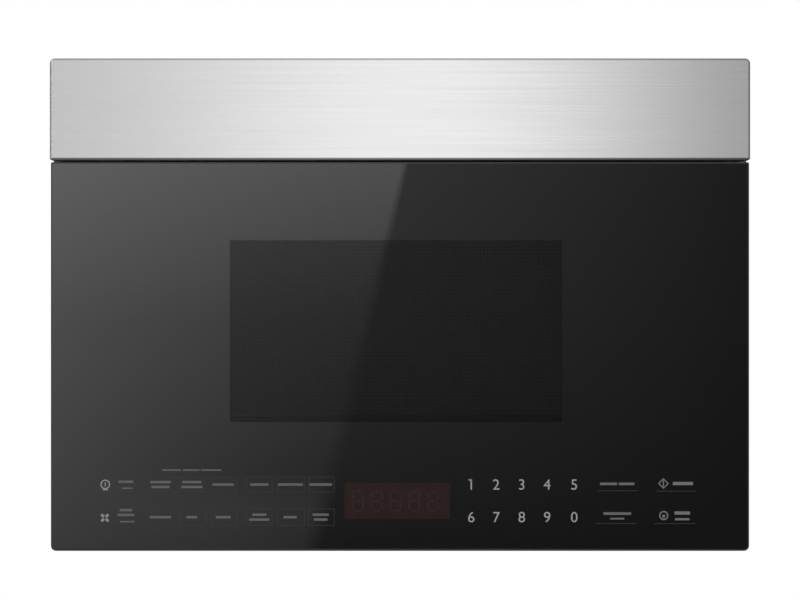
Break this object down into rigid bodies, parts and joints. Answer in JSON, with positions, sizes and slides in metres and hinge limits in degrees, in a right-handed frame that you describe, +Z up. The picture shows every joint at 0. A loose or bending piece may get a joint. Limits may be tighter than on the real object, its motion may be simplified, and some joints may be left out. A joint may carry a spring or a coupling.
{
  "type": "over-the-range microwave",
  "caption": "Over-the-range microwave with a stainless fascia band over a full-width black glass door, turntable oven and hood blower.",
  "frame": {"origin": "middle of the bounding box at its lowest level, the door's lower edge", "axes": "+X to the right seen from the front, +Y back to the wall, +Z up"},
  "size_m": [0.606, 0.402, 0.426],
  "materials": {
    "stainless": "brushed",
    "case_paint": "satin",
    "zinc_sheet": "satin",
    "cavity_enamel": "satin",
    "door_glass": "gloss",
    "clear_glass": "gloss",
    "lamp_glass": "gloss",
    "dark_plastic": "matte",
    "pale_plastic": "matte",
    "panel_steel": "satin",
    "mesh_aluminium": "satin",
    "motor_steel": "satin",
    "copper_winding": "satin",
    "circuit_board": "matte",
    "charcoal": "matte",
    "display_dark": "gloss",
    "mica": "matte"
  },
  "bodies": {
    "cabinet": {"fascia_band": "stainless", "cabinet_wrap": "case_paint", "base_pan": "case_paint", "rear_plate": "zinc_sheet", "blower_cover_plate": "zinc_sheet", "front_plate": "cavity_enamel", "oven_cavity": "cavity_enamel", "vent_grille": "dark_plastic", "charcoal_filter": "charcoal", "cord_grommet": "dark_plastic", "cooktop_lamp_lens": "lamp_glass", "cooktop_lamp": "lamp_glass", "cavity_lamp": "lamp_glass", "lamp_cover": "zinc_sheet", "waveguide": "zinc_sheet", "waveguide_cover": "mica", "magnetron": "mesh_aluminium", "thermal_cutout": "dark_plastic", "fan_shroud": "dark_plastic", "fan_motor": "motor_steel", "turntable_motor": "zinc_sheet", "transformer_core": "motor_steel", "transformer_windings": "copper_winding", "hv_capacitor": "zinc_sheet", "capacitor_clamp": "zinc_sheet", "hv_diode": "dark_plastic", "power_board": "circuit_board", "noise_filter_board": "circuit_board", "blower_motor": "motor_steel", "blower_housing_left": "zinc_sheet", "blower_housing_right": "zinc_sheet", "hinge_bracket_lower": "zinc_sheet", "hinge_bracket_upper": "zinc_sheet", "latch_board": "pale_plastic", "primary_switch": "dark_plastic", "secondary_switch": "dark_plastic", "monitor_switch": "dark_plastic"},
    "door": {"door_glass": "door_glass", "door_frame": "dark_plastic", "door_panel": "panel_steel", "door_screen": "panel_steel", "inner_window": "clear_glass", "choke_cover": "dark_plastic", "touch_board": "circuit_board", "display_module": "display_dark", "latch_spring": "zinc_sheet"},
    "latch": {"latch_bar": "pale_plastic"},
    "turntable_drive": {"turntable_shaft": "zinc_sheet", "turntable_coupler": "pale_plastic"},
    "tray": {"glass_tray": "clear_glass"},
    "ring": {"roller_ring": "pale_plastic"},
    "first_roller": {"roller_1": "pale_plastic"},
    "second_roller": {"roller_2": "pale_plastic"},
    "third_roller": {"roller_3": "pale_plastic"},
    "cooling_fan": {"fan_blade": "pale_plastic"},
    "blower": {"blower_shaft": "zinc_sheet", "blower_wheel_left": "dark_plastic", "blower_wheel_right": "dark_plastic"},
    "left_filter": {"grease_filter_left": "mesh_aluminium"},
    "right_filter": {"grease_filter_right": "mesh_aluminium"}
  },
  "joints": [
    {"name": "door_swing", "type": "hinge", "parent": "cabinet", "child": "door", "pos_m": [-0.29, -0.173, 0.168], "axis": [0, 0, -1], "range_deg": [0, 100]},
    {"name": "latch_lift", "type": "slide", "parent": "door", "child": "latch", "axis": [0, 0, 1], "range_m": [0, 0.004], "stiffness_N_per_m": 500, "springref_m": -0.005, "deforming": ["latch_spring"]},
    {"name": "tray_turn", "type": "hinge", "parent": "cabinet", "child": "turntable_drive", "pos_m": [-0.004, 0.0188, 0.07], "axis": [0, 0, 1], "continuous": true},
    {"name": "tray_lift", "type": "slide", "parent": "turntable_drive", "child": "tray", "axis": [0, 0, 1], "range_m": [0, 0.04]},
    {"name": "ring_turn", "type": "hinge", "parent": "cabinet", "child": "ring", "pos_m": [-0.004, 0.0188, 0.0723], "axis": [0, 0, 1], "continuous": true},
    {"name": "first_roller_spin", "type": "hinge", "parent": "ring", "child": "first_roller", "pos_m": [-0.004, 0.1288, 0.0723], "axis": [0, 1, 0], "continuous": true},
    {"name": "second_roller_spin", "type": "hinge", "parent": "ring", "child": "second_roller", "pos_m": [-0.09926, -0.0362, 0.0723], "axis": [-0.866, -0.5, 0], "continuous": true},
    {"name": "third_roller_spin", "type": "hinge", "parent": "ring", "child": "third_roller", "pos_m": [0.09126, -0.0362, 0.0723], "axis": [0.866, -0.5, 0], "continuous": true},
    {"name": "cooling_fan_spin", "type": "hinge", "parent": "cabinet", "child": "cooling_fan", "pos_m": [0.2533, 0.17, 0.172], "axis": [0, 1, 0], "continuous": true},
    {"name": "blower_spin", "type": "hinge", "parent": "cabinet", "child": "blower", "pos_m": [0, 0.108, 0.367], "axis": [1, 0, 0], "continuous": true},
    {"name": "left_filter_tilt", "type": "hinge", "parent": "cabinet", "child": "left_filter", "pos_m": [-0.23, 0.073, 0.0015], "axis": [0, 1, 0], "range_deg": [0, 60]},
    {"name": "right_filter_tilt", "type": "hinge", "parent": "cabinet", "child": "right_filter", "pos_m": [0.23, 0.073, 0.0015], "axis": [0, -1, 0], "range_deg": [0, 60]}
  ],
  "couplings": [
    {"joint": "ring_turn", "follows": "tray_turn", "ratio": 0.5},
    {"joint": "first_roller_spin", "follows": "tray_turn", "ratio": -6.1111},
    {"joint": "second_roller_spin", "follows": "tray_turn", "ratio": -6.1111},
    {"joint": "third_roller_spin", "follows": "tray_turn", "ratio": -6.1111}
  ]
}
